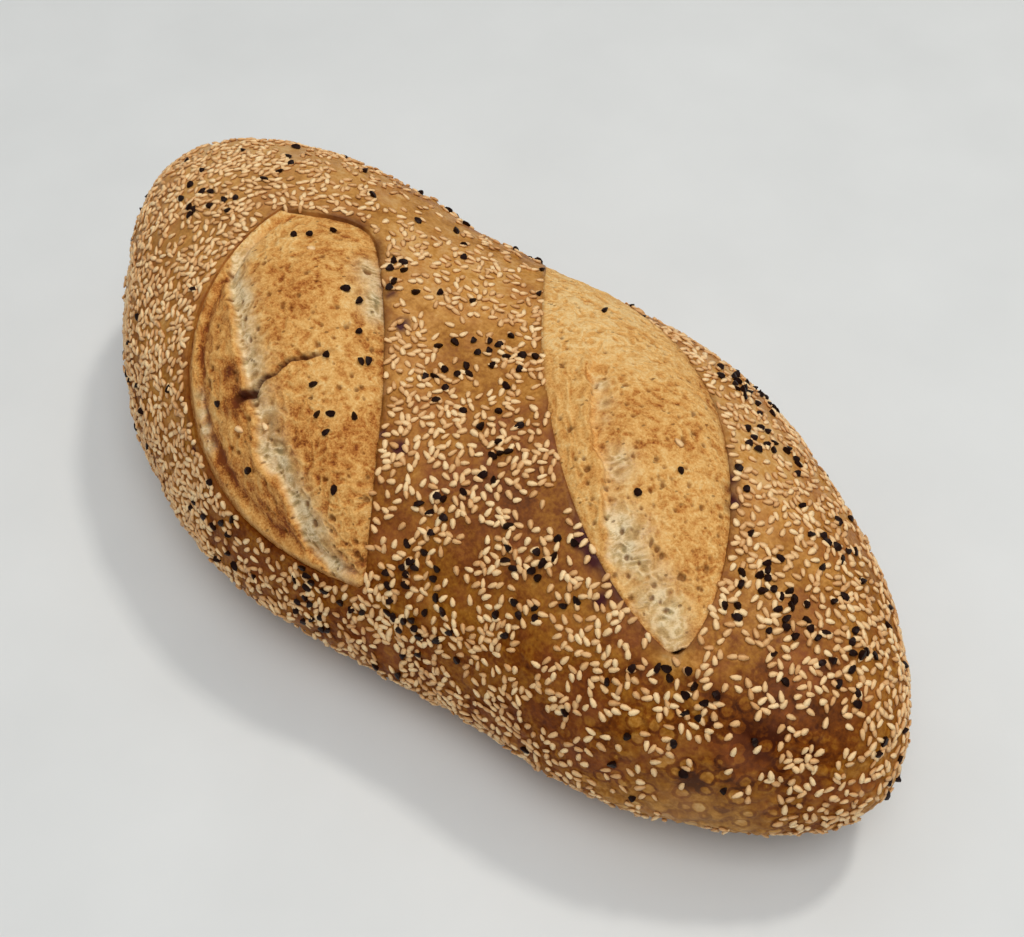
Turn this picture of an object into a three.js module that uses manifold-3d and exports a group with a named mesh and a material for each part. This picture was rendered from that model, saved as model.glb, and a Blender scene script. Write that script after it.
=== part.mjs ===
// Onion sourdough loaf: a long hearth loaf, slashed twice across its back, seeded and baked in one piece.
// Millimetres. +X runs along the loaf, +Y across it and +Z up. The origin is on the base, under its middle.
import * as THREE from 'three';
import { mergeVertices } from 'three/addons/utils/BufferGeometryUtils.js';
import Module from 'manifold-3d';

// Driving sizes of the crust
const LENGTH = 267;
const WIDTH = 140.5;
const HEIGHT = 82;
const BELLY = 27; // height of the widest level above the base
const SETTLE = 22; // depth of the round underside that the hearth pressed flat

// Roundness of the loaf: 2 is an ellipse, more is blunter. The tail is the -X end, the nose the +X end
const PLAN_BLUNTNESS = { tail: 1.77, nose: 1.75 };
const BACK_BLUNTNESS = { tail: 3.05, nose: 2.4 };
const SIDE_POWER = 0.88; // under 1 fills out the corners of the cross-section
const BACK_POWER = 0.95;
const UNDER_SIDE_POWER = 1.1; // over 1 slims the underside towards its flat base
const UNDER_POWER = 1.25;
const UNDER_RISE = { tail: 0.9, nose: 1 }; // how early the underside lifts off the hearth
const NOSE_LOWERING = 0.052; // share of the height lost at the nose and gained at the tail
const AXIS_SWAY = 6.2; // the loaf's long axis bends in a slight S
const TIP_LEAN = 2; // and both its tips turn a little towards +Y

// The waist between the two slashes, slanted as they are
const WAIST_PINCH = 0.144; // share of the half width
const WAIST_DIP = 0.098; // share of the rise above the belly
const WAIST_SLANT = 0.303; // shift along the loaf, in half lengths, from its middle line to its side
const WAIST_SPAN = 0.363; // in half lengths

// The slashes: a lens of crumb between two bulged edges, seen along the blade's axis
const degrees = THREE.MathUtils.degToRad;
const SLASHES = [
  {
    centre: new THREE.Vector3(-24.8, -34.3, 73.8),
    lean: degrees(-28), // the cut's axis leans from +Z towards +Y
    heading: degrees(-34), // the cut's length turns from +X towards +Y
    length: 106,
    nearEdge: { bulge: 31.5, skew: 1.05, fullness: 2.15, roundness: 0.95, opening: 0.01 }, // the -Y edge
    farEdge: { bulge: 22, skew: 0.53, fullness: 2.6, roundness: 0.8, opening: 0.062 }, // the +Y edge
    crown: 5, // height of the burst crumb over the loaf's own curve
    tipSteepness: 4, // how late the bloom comes down towards the ends of the slash
    nearSteepness: 2.2,
    farSteepness: 3.5,
    seam: { across: -0.42, depth: 2.6 }, // the valley where the two sides parted
    tear: { along: 0.49, from: -0.62, to: 0.42, depth: 2.4 }, // the crack across the bloom
  },
  {
    centre: new THREE.Vector3(27.6, 20.2, 74.4),
    lean: degrees(8),
    heading: degrees(-33.6),
    length: 147,
    nearEdge: { bulge: 17.9, skew: 1.55, fullness: 2, roundness: 0.8, opening: 0.01 },
    farEdge: { bulge: 25, skew: 0.8, fullness: 2.3, roundness: 0.6, opening: 0.282 },
    crown: 4,
    tipSteepness: 2.2,
    nearSteepness: 2.6,
    farSteepness: 4,
    seam: { across: -0.4, depth: 1.4 },
    tear: null,
  },
];
const OPENING_POWER = 1.5; // how suddenly an edge parts from the tail-side tip, over its opening
const CRUST_DEPTH = 2.5; // the crumb meets the cut crust this far below its surface
const CREASE_START = 0.9; // the crumb rises only inside this share of the slash's half width
const SEAM_SPREAD = 0.2; // in half widths of the slash
const TEAR_SPREAD = 0.03; // in lengths of the slash
const NEAR_EDGE_CURL = { rise: 1.2, spread: 0.3 }; // the near crust edge curls up; spread in half widths
const FAR_EDGE_SAG = { drop: 1.4, spread: 0.35 }; // the far crust edge is drawn down beside the bloom
const CUT_REACH = 40; // half the height of the blade's prism
const CUT_STEPS = 8; // levels of the prism, so that it can bend
const FAR_SHOULDER = 46; // below this height on the far side the cut runs down the loaf and so closes sooner

// Mesh fineness
const CRUST_RINGS = 36;
const CRUST_SIDES = 48;
const CRUMB_RINGS = 62;
const CRUMB_SIDES = 90;
const EDGE_STEPS = 20;
const WELD = 1e-4; // corners of a mesh closer than this are one

// Seeds: half length, half width and half thickness, and how much narrower one end is than the middle
const SEED_KINDS = [
  { name: 'sesame', count: 124, half: new THREE.Vector3(1.6, 0.95, 0.75), taper: 0.35 },
  { name: 'nigella', count: 40, half: new THREE.Vector3(1.5, 0.95, 0.9), taper: 0.2 },
];
const SEED_SPREAD = 0.12; // sizes vary by this share either way
const SEED_LOWEST = 14; // no seeds stick below this height
const SEED_OVERHANG = 0.1; // how far round under the belly they are drawn, in half turns
const SEED_EDGE_GAP = 1.12; // seeds keep out of the slash and this far past its edge, in half widths
const SEED_TRIES = 24; // places drawn for each seed; the one furthest from the others is kept
const SEED_DRAW = 20261127;

const CRUST_COLOUR = '#a9702f';

const wasm = await Module();
wasm.setup();

// Share of the full size left at place s, from -1 at the tail to 1 at the nose
function endCap(s, bluntness) {
  const power = s < 0 ? bluntness.tail : bluntness.nose;
  return Math.max(0, 1 - Math.abs(s) ** power) ** (1 / power);
}

// A point of the plain loaf, at place s along it and at an angle round it from +Y over the back
function loafPoint(s, angle) {
  const planCap = endCap(s, PLAN_BLUNTNESS);
  const lift = Math.sin(angle);
  const sidePower = lift > 0 ? SIDE_POWER : UNDER_SIDE_POWER;
  const across = Math.sign(Math.cos(angle)) * Math.abs(Math.cos(angle)) ** sidePower;
  const waist = Math.exp(-(((s + WAIST_SLANT * across) / WAIST_SPAN) ** 2));
  const halfWidth = (WIDTH / 2) * planCap * (1 - WAIST_PINCH * waist);
  const backRise = (HEIGHT * (1 - NOSE_LOWERING * s) - BELLY) * endCap(s, BACK_BLUNTNESS);
  const up = backRise * (1 - WAIST_DIP * waist) * Math.abs(lift) ** BACK_POWER;
  const underCap = planCap ** (s < 0 ? UNDER_RISE.tail : UNDER_RISE.nose);
  const down = (BELLY + SETTLE) * underCap * Math.abs(lift) ** UNDER_POWER;
  return new THREE.Vector3(
    (s * LENGTH) / 2,
    AXIS_SWAY * s * (1 - s * s) + TIP_LEAN * s * s + halfWidth * across,
    BELLY + (lift > 0 ? up : -down),
  );
}

// The way out of the loaf at a point of its surface
function outward(point) {
  return new THREE.Vector3(
    point.x / LENGTH ** 2,
    point.y / WIDTH ** 2,
    (point.z - BELLY) / (4 * (HEIGHT - BELLY) ** 2),
  ).normalize();
}

// The directions of a slash: along it, across it and out of the loaf, and the loaf's far side as it sees it
function slashAxes(slash) {
  const out = new THREE.Vector3(0, Math.sin(slash.lean), Math.cos(slash.lean));
  const side = new THREE.Vector3(0, Math.cos(slash.lean), -Math.sin(slash.lean));
  const along = new THREE.Vector3(Math.cos(slash.heading), 0, 0);
  along.addScaledVector(side, Math.sin(slash.heading));
  const across = new THREE.Vector3().crossVectors(out, along);
  return { along, across, out, side };
}

// How far an edge of the slash stands from its chord, at a share of its length
function edgeOffset(edge, along) {
  const share = 1 - Math.abs(2 * along ** edge.skew - 1) ** edge.fullness;
  const opened = 1 - Math.exp(-((along / edge.opening) ** OPENING_POWER));
  return edge.bulge * opened * Math.max(0, share) ** edge.roundness; // a roundness under 1 blunts the tips
}

// Where a point lies in a slash: 0 to 1 along it, and -1 to 1 from its near edge to its far one
function placeInSlash(slash, point) {
  const axes = slashAxes(slash);
  const drop = point.y > 0 ? Math.max(0, FAR_SHOULDER - point.z) : 0;
  const offset = point.clone().sub(slash.centre).addScaledVector(axes.side, drop);
  const along = offset.dot(axes.along) / slash.length + 0.5;
  const sideways = offset.dot(axes.across);
  const open = along > 0 && along < 1 && offset.dot(axes.out) > -CUT_REACH;
  const edge = sideways < 0 ? slash.nearEdge : slash.farEdge;
  return { along, across: open ? sideways / edgeOffset(edge, along) : Infinity };
}

const bump = (distance, spread) => Math.exp(-((distance / spread) ** 2));

// Height of the crust over the plain loaf beside the slashes
function crustRelief(point) {
  let relief = 0;
  for (const slash of SLASHES) {
    const { along, across } = placeInSlash(slash, point);
    if (!Number.isFinite(across)) continue;
    const ends = 1 - Math.abs(2 * along - 1) ** slash.tipSteepness;
    const past = Math.max(0, Math.abs(across) - 1);
    const curl = NEAR_EDGE_CURL.rise * bump(past, NEAR_EDGE_CURL.spread);
    const sag = FAR_EDGE_SAG.drop * bump(past, FAR_EDGE_SAG.spread);
    relief += ends * (across < 0 ? curl : -sag);
  }
  return relief;
}

// Height of the crumb over the plain loaf: under the crust, and bursting out through the slashes
function crumbRelief(point) {
  for (const slash of SLASHES) {
    const { along, across } = placeInSlash(slash, point);
    if (Math.abs(across) >= 1) continue;
    const steepness = across < 0 ? slash.nearSteepness : slash.farSteepness;
    const ends = 1 - Math.abs(2 * along - 1) ** slash.tipSteepness;
    const dome = ends * (1 - Math.min(1, Math.abs(across) / CREASE_START) ** steepness);
    let sunk = slash.seam.depth * bump(across - slash.seam.across, SEAM_SPREAD);
    if (slash.tear && across > slash.tear.from && across < slash.tear.to) {
      sunk = Math.max(sunk, slash.tear.depth * bump(along - slash.tear.along, TEAR_SPREAD));
    }
    return -CRUST_DEPTH + (slash.crown + CRUST_DEPTH - sunk) * dome;
  }
  return -CRUST_DEPTH;
}

// A round closed skin of the loaf's form, lifted by a relief
function loafSkin(sides, rings, relief) {
  const geometry = new THREE.SphereGeometry(1, sides, rings);
  geometry.rotateZ(-Math.PI / 2); // the poles go to the tail and the nose
  const places = geometry.attributes.position;
  for (let i = 0; i < places.count; i += 1) {
    const place = new THREE.Vector3().fromBufferAttribute(places, i);
    const point = loafPoint(THREE.MathUtils.clamp(place.x, -1, 1), Math.atan2(place.z, place.y));
    point.addScaledVector(outward(point), relief(point));
    places.setXYZ(i, point.x, point.y, point.z);
  }
  return geometry;
}

// The prism that a slash opens in the crust
function slashPrism(slash) {
  const edgePlace = (step) => (1 - Math.cos((Math.PI * step) / EDGE_STEPS)) / 2; // closer towards the tips
  const outline = [];
  for (let i = 0; i < EDGE_STEPS; i += 1) {
    const along = edgePlace(i);
    outline.push(new THREE.Vector2((along - 0.5) * slash.length, -edgeOffset(slash.nearEdge, along)));
  }
  for (let i = EDGE_STEPS; i > 0; i -= 1) {
    const along = edgePlace(i);
    outline.push(new THREE.Vector2((along - 0.5) * slash.length, edgeOffset(slash.farEdge, along)));
  }
  const depth = 2 * CUT_REACH;
  const settings = { depth, steps: CUT_STEPS, bevelEnabled: false };
  const geometry = new THREE.ExtrudeGeometry(new THREE.Shape(outline), settings);
  const { along, across, out, side } = slashAxes(slash);
  geometry.translate(0, 0, -CUT_REACH);
  geometry.applyMatrix4(new THREE.Matrix4().makeBasis(along, across, out));
  geometry.translate(...slash.centre.toArray());
  const places = geometry.attributes.position;
  for (let i = 0; i < places.count; i += 1) {
    const place = new THREE.Vector3().fromBufferAttribute(places, i);
    const drop = place.y > 0 ? Math.max(0, FAR_SHOULDER - place.z) / (1 - side.z) : 0;
    place.addScaledVector(side, -drop);
    places.setXYZ(i, place.x, place.y, place.z);
  }
  return geometry;
}

// The hearth: all that lies under the loaf
function hearthBlock() {
  return new THREE.BoxGeometry(2 * LENGTH, 2 * WIDTH, 2 * HEIGHT).translate(0, 0, -HEIGHT);
}

// A place for a seed on the open crust, or null where the draw falls in a slash or too low
function seedPlace(draw) {
  const s = 2 * draw() - 1;
  const angle = Math.PI * ((1 + 2 * SEED_OVERHANG) * draw() - SEED_OVERHANG);
  const point = loafPoint(s, angle);
  const bare = SLASHES.some((slash) => Math.abs(placeInSlash(slash, point).across) < SEED_EDGE_GAP);
  if (bare || point.z < SEED_LOWEST) return null;
  return point.addScaledVector(outward(point), crustRelief(point));
}

// One faceted seed, narrower at one end, lying on the crust and turned at random
function seedGeometry(kind, point, draw) {
  const geometry = new THREE.IcosahedronGeometry(1, 0);
  const places = geometry.attributes.position;
  for (let i = 0; i < places.count; i += 1) {
    const width = 1 - kind.taper * Math.max(0, places.getX(i));
    places.setXYZ(i, places.getX(i), places.getY(i) * width, places.getZ(i) * width);
  }
  const size = kind.half.clone().multiplyScalar(1 + SEED_SPREAD * (2 * draw() - 1));
  const turn = new THREE.Quaternion().setFromAxisAngle(new THREE.Vector3(0, 0, 1), 2 * Math.PI * draw());
  const stand = new THREE.Quaternion().setFromUnitVectors(new THREE.Vector3(0, 0, 1), outward(point));
  return geometry.applyMatrix4(new THREE.Matrix4().compose(point, stand.multiply(turn), size));
}

// Every seed, each at the drawn place that lies furthest from those already there
function seedGeometries() {
  const draw = THREE.MathUtils.seededRandom;
  draw(SEED_DRAW);
  const taken = [];
  const seeds = [];
  for (const kind of SEED_KINDS) {
    for (let n = 0; n < kind.count; n += 1) {
      let best = null;
      for (let t = 0; t < SEED_TRIES; t += 1) {
        const point = seedPlace(draw);
        if (!point) continue;
        const gap = Math.min(...taken.map((other) => other.distanceTo(point)));
        if (!best || gap > best.gap) best = { point, gap };
      }
      if (!best) continue;
      taken.push(best.point);
      seeds.push(seedGeometry(kind, best.point, draw));
    }
  }
  return seeds;
}

// Closed mesh to solid, and back
function toSolid(geometry) {
  geometry.deleteAttribute('normal');
  geometry.deleteAttribute('uv');
  const merged = mergeVertices(geometry, WELD);
  const vertProperties = new Float32Array(merged.attributes.position.array);
  const mesh = new wasm.Mesh({ numProp: 3, vertProperties, triVerts: new Uint32Array(merged.index.array) });
  return new wasm.Manifold(mesh);
}

function toGeometry(solid) {
  const mesh = solid.getMesh();
  const geometry = new THREE.BufferGeometry();
  geometry.setAttribute('position', new THREE.BufferAttribute(mesh.vertProperties, 3));
  geometry.setIndex(new THREE.BufferAttribute(mesh.triVerts, 1));
  return geometry;
}

// The loaf: slashed crust, crumb bursting through, seeds on top, pressed flat by the hearth
function bakeLoaf() {
  let loaf = toSolid(loafSkin(CRUST_SIDES, CRUST_RINGS, crustRelief));
  for (const slash of SLASHES) loaf = loaf.subtract(toSolid(slashPrism(slash)));
  loaf = loaf.add(toSolid(loafSkin(CRUMB_SIDES, CRUMB_RINGS, crumbRelief)));
  for (const seed of seedGeometries()) loaf = loaf.add(toSolid(seed));
  const geometry = toGeometry(loaf.subtract(toSolid(hearthBlock())));
  geometry.computeVertexNormals();
  return geometry;
}

const crust = new THREE.MeshStandardMaterial({ color: CRUST_COLOUR, roughness: 0.5, metalness: 0 });
const loaf = new THREE.Mesh(bakeLoaf(), crust);
loaf.name = 'loaf';

const bread = new THREE.Group();
bread.add(loaf);

export default bread;
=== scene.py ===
import math

import bpy
import numpy as np
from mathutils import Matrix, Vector, kdtree


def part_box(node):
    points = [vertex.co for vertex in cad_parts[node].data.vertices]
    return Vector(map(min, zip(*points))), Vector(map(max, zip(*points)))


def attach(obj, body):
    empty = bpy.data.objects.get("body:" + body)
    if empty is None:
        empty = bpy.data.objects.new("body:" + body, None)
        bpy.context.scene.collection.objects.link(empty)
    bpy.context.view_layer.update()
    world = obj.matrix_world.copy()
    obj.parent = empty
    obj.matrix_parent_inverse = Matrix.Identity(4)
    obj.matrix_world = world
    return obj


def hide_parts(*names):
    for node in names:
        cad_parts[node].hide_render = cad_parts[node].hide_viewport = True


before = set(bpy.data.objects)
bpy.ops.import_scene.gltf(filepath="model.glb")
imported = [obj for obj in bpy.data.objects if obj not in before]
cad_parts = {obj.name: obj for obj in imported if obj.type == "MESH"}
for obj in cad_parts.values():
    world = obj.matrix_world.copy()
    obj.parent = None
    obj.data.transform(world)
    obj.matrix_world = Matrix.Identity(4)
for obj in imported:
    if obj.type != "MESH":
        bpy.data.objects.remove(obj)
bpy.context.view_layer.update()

# Onion sourdough loaf: a seeded crust, and crumb that burst out of two slanting slashes.
# Sizes are millimetres in the part's own frame: +X along the loaf, +Y across it, +Z up from its base.

MM = 0.001

# Size of the crust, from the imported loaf, whose box also holds seeds and the burst crumb
BOX_LENGTH, BOX_WIDTH, BOX_HEIGHT = (np.array(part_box("loaf")[1]) - np.array(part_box("loaf")[0])) / MM
SEEDS_AT_TIPS = 0.7
WAIST_LOSS = 1.034  # the full width over the box's width, which the slanted waist narrows
CRUMB_OVER_CRUST = 2.6
LENGTH = BOX_LENGTH - SEEDS_AT_TIPS
WIDTH = BOX_WIDTH * WAIST_LOSS
HEIGHT = BOX_HEIGHT - CRUMB_OVER_CRUST
BELLY = 27  # height of the widest level above the base
SETTLE = 22  # depth of the round underside that the hearth pressed flat

# Roundness of the loaf, tail end and nose end: 2 is an ellipse, more is blunter
PLAN_BLUNTNESS = (1.77, 1.75)
BACK_BLUNTNESS = (3.05, 2.4)
SIDE_POWER = 0.88  # under 1 fills out the corners of the cross-section
BACK_POWER = 0.95
UNDER_SIDE_POWER = 1.1  # over 1 slims the underside towards its flat base
UNDER_POWER = 1.25
UNDER_RISE = (0.9, 1)  # how early the underside lifts off the hearth, tail end and nose end
NOSE_LOWERING = 0.052  # the back comes down by this share of its height from its middle to the nose
AXIS_SWAY = 6.2  # the slight S of the long axis
TIP_LEAN = 2  # both tips lean this far to the far side

# The waist between the two slashes, slanted as they are
WAIST_PINCH = 0.144  # share of the half width
WAIST_DIP = 0.098  # share of the rise above the belly
WAIST_SLANT = 0.303  # shift along the loaf, in half lengths, from its middle line to its side
WAIST_SPAN = 0.363  # in half lengths

NOSE_CUT_END = (88.4, -22.8, 63.7)  # where the nose slash runs out, and its crumb smears onto the crust

# How the slashes meet the crust
LOWEST_CUT = 32  # no slash reaches further down the sides
FAR_SHOULDER = 46  # below this height a slash runs down the far side instead of across
CUT_FLOOR = 6  # the crust drops this far inside a slash, under the crumb
RIM_DEPTH = 0.25  # the crumb meets the cut crust this far below its lip
RIM_TUCK = 1.04  # and goes on this far under it, in half widths of the slash
LIP_SNAP = 0.55  # points of the crust this near to a lip are moved onto it
OPENING_POWER = 1.5  # how suddenly an edge parts from the tail-side tip of its slash
LIP_SPREAD = 5  # the crust rises or sags to its lip over this width

# Mesh fineness
CRUST_RINGS = 392
BACK_STEPS = 212
UNDER_STEPS = 38
SIDE_REACH = 0.7  # the fine part goes this far round under the belly, in radians
BLOOM_CELL = 0.34  # width of a cell of the burst crumb's mesh

# Relief of the crust: lump size, height and draw
CRUST_LUMPS = [(40, 1.1, 1), (15, 0.55, 2), (6, 0.22, 3), (2.6, 0.07, 4)]
BLISTERS = {"count": 900, "radius": (1.5, 2.7), "height": (0.3, 0.75), "draw": 31}
PEBBLED_NOSE = {"place": (106, -32, 38), "radius": 26, "strength": 1.3}

# How far the oven browned the crust, from 0 for straw yellow to 1 for nearly black
EVEN_BAKE = 0.46
BAKE_LUMPS = [(34, 0.12, 21), (13, 0.12, 22), (5.5, 0.1, 23)]
FRONT_BAKE = 0.2  # the front is browner than the far side
FRONT_BAND = {"height": 34, "spread": 14, "bake": 0.1}
FOOT_BAKE = -0.2  # the foot stays paler
LIP_BAKE = {"spread": 2, "bake": 0.08}
# Blisters: paler on top and darker in a ring round their foot, partly their own colour and partly painted
# highlight and shade
BLISTER_TONE_AND_SHADE = {"top": -0.1, "ring": 0.1}
# Darker and paler places: where, how far round and how much
BAKE_ZONES = [
    ((112, -18, 54), 13, 0.37), ((104.5, -32, 41), 3.5, 0.4), (NOSE_CUT_END, 3.5, -0.55),
    ((112, 9, 58), 25, 0.1), ((105, -36, 28), 22, -0.4), ((68, 38, 66), 35, -0.33),
    ((-20, 25, 75), 42, -0.17), ((-105, -5, 55), 45, -0.28), ((-50, -60, 40), 35, -0.2),
    ((38, -46, 54), 18, -0.13), ((70, -45, 45), 20, 0.06), ((35, -29, 68), 18, 0.14),
]
# Pale tan places, given the same way: painted sheen on the tail's top and a paler foot at the nose,
# and a little painted sheen on all crust that faces up
SHEEN_AND_PALE_ZONES = [((-100, 0, 72), 40, 0.2), ((110, -33, 22), 16, 0.27)]
PAINTED_SHEEN_BACK = 0.05
SIDE_GLOSS = 0.11
BACK_GLOSS = 0.2  # what the back has more than the sides

# Relief of the burst crumb: lump size, height and draw, counted from the bloom's own draw
RAGGED_SEAM = [(7, 1.3, 1), (2.4, 0.7, 14)]
RAGGED_CRACK = [(4, 1.2, 8), (1.3, 0.5, 16)]
NET_LUMPS = [(2.1, 0.6, 19), (1.1, 0.55, 20)]
SKIN_GRAIN = [(1.7, 0.15, 7), (0.8, 0.09, 15)]
UNEVEN_PITS = [(1.3, 0.5, 23), (0.6, 0.3, 24)]
TOAST_LUMPS = [(14, 0.1, 12), (4, 0.1, 13), (2, 0.08, 17)]
PALE_LUMPS = [(6, 0.3, 10), (2, 0.3, 18)]
TUCK_DROP = 8  # how steeply the crumb dives under the crust's lip
SEAM_DROP = 0.6  # the seam drops within this width on its near side
SEAM_RISE = 4  # and rises over this one on its far side
SEAM_RIDGE = {"share": 0.3, "away": 1.5, "spread": 1}
ROPE = {"from_edge": 2.6, "spread": 1.9}
GROOVE = {"from_edge": 6.2, "spread": 1.4, "depth": 0.6}
WEB_BEND = 1.2
WEB_HEIGHT = 0.14
TORN_WEB_HEIGHT = 0.03  # what torn crumb has more
CRACK_SPREAD = 0.42
CRACK_LOBE = {"height": 0.7, "spread": 7}
PORE_RADIUS = (0.3, 0.6)
PIT_DEPTH = 0.9
UNDER_BLOOM = 0.5  # gap between a bloom's underside and the cut crust

# Seeds: how many, how far apart, half length, width and thickness, taper of the pointed end, and draws
SESAME = {"count": 6300, "apart": 1.4, "half": (1.34, 0.78, 0.44), "taper": 0.33, "corners": 0, "sides": 5,
          "spread": 0.14, "sink": 0.18, "smooth": True, "throw": 82, "lay": 91}
NIGELLA = {"count": 370, "apart": 1.7, "half": (1.2, 0.78, 0.7), "taper": 0.3, "corners": 0.24, "sides": 6,
           "spread": 0.2, "sink": 0.25, "smooth": False, "throw": 81, "lay": 92}
SEED_RINGS = 4
SEED_TILT = 0.13  # how far seeds tilt out of the crust's level
# Painted shade: a seed is darker at its rim than on top
RIM_SHADE = 0.28  # how much darker a seed is at its rim than on top
SEED_LOWEST = 5
SEED_GAP = 0.4  # seeds keep this far from the edge of a slash
NEIGHBOURS = [(i - 1, j - 1, k - 1) for i, j, k in np.ndindex(3, 3, 3)]  # steps to the cells round a seed's

# Where fewer sesame seeds stuck: place, how far round and what share is missing
BARE_ZONES = [
    ((107, -32, 34), 21, 0.95), ((112, -21, 52), 12, 0.9), ((-14, 14, 75), 20, 0.5),
    ((84, -43, 36), 15, 0.5), (NOSE_CUT_END, 5, 0.9), ((104, -38, 22), 24, 0.85), ((118, -24, 28), 12, 0.85),
]

# Nigella fell in pinches: plan place of each pinch and about how many seeds stuck there
NIGELLA_PINCHES = [
    (1, -7, 9), (5, 3, 10), (10, 6, 5), (26, -35, 8), (27, -48, 8), (26, -17, 8), (50, -33, 5),
    (36, -52, 6), (47, 47, 16), (63, 36, 9), (94, 24, 10), (99, 2, 14), (92, 1, 8), (115, 7, 9),
    (98, -27, 4), (59, -33, 5), (129, 4, 4), (-25, -63, 6), (9, -60, 7), (-87, -16, 7), (-30, -2, 4),
    (-86, 5, 5), (90, -30, 3), (76, 9, 6),
]
PINCH_SPREAD = 6
BETWEEN_PINCHES = 0.025


class Slash:
    """One cut across the back: 0 to 1 along it from tail to nose, -1 to 1 across it from near to far edge."""

    def __init__(self, name, centre, lean, heading, length, near_edge, far_edge, bloom):
        self.name = name
        self.centre = np.array(centre)
        self.level = np.array([0, math.cos(math.radians(lean)), -math.sin(math.radians(lean))])
        self.cos = math.cos(math.radians(heading))
        self.sin = math.sin(math.radians(heading))
        self.length = length
        self.near_edge = near_edge
        self.far_edge = far_edge
        self.bloom = bloom

    def spot(self, points):
        """Millimetres along and across the cut from its middle; on the far side it follows the loaf down."""
        offset = points - self.centre
        drop = np.where(points[..., 1] > 0, np.maximum(0, FAR_SHOULDER - points[..., 2]), 0)
        crosswise = offset @ self.level + drop
        along = offset[..., 0] * self.cos + crosswise * self.sin
        across = crosswise * self.cos - offset[..., 0] * self.sin
        return along, across

    def half_width(self, share, across):
        """How far the near or the far edge stands off the cut's line, at a share of its length."""
        share = np.clip(share, 0, 1)
        edges = []
        for bulge, skew, fullness, roundness, opening in (self.near_edge, self.far_edge):
            inner = np.maximum(0, 1 - np.abs(2 * share ** skew - 1) ** fullness)
            opened = 1 - np.exp(-((share / opening) ** OPENING_POWER))
            edges.append(bulge * opened * inner ** roundness)
        return np.where(across < 0, *edges)

    def gap(self, points):
        """Millimetres outside the cut's outline, less than 0 inside it, and the way out, along and across."""
        along, across = self.spot(points)
        share = along / self.length + 0.5
        step = 1e-3
        rise = self.half_width(share + step, across) - self.half_width(share - step, across)
        slope = rise / (2 * step * self.length)
        steep = np.hypot(1, slope)
        gap = (np.abs(across) - self.half_width(share, across)) / steep
        past_tip = (np.abs(share - 0.5) - 0.5) * self.length
        gap = np.where(past_tip > 0, np.hypot(past_tip, across), gap)
        gap = np.where(points[..., 2] < LOWEST_CUT, self.length, gap)
        return gap, (-slope / steep, np.sign(across) / steep)

    def ends(self, share):
        """1 along most of the cut and 0 at its two tips."""
        return 1 - np.abs(2 * np.clip(share, 0, 1) - 1) ** self.bloom["tip_steepness"]

    def along_edge(self, trait, share, across):
        """A trait of the near or the far edge, given for a few shares of the cut's length."""
        near, far = (np.interp(share, *np.array(self.bloom[side + trait]).T) for side in ("near_", "far_"))
        return np.where(across < 0, near, far)

    def lip(self, share, across, gap):
        """How far the crust beside the cut is raised or drawn down."""
        return self.ends(share) * self.along_edge("lip", share, across) * hump(gap, LIP_SPREAD)

    def spots(self, share, across, marks):
        """Strength of round marks, each given by its share along, place across, radius and strength."""
        total = np.zeros(np.shape(share))
        for mark_share, mark_across, radius, strength in marks:
            mark = mark_across * self.half_width(np.array(mark_share), np.array(mark_across))
            away = np.hypot((share - mark_share) * self.length, across - mark)
            total = total + strength * hump(away, radius)
        return total
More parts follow.
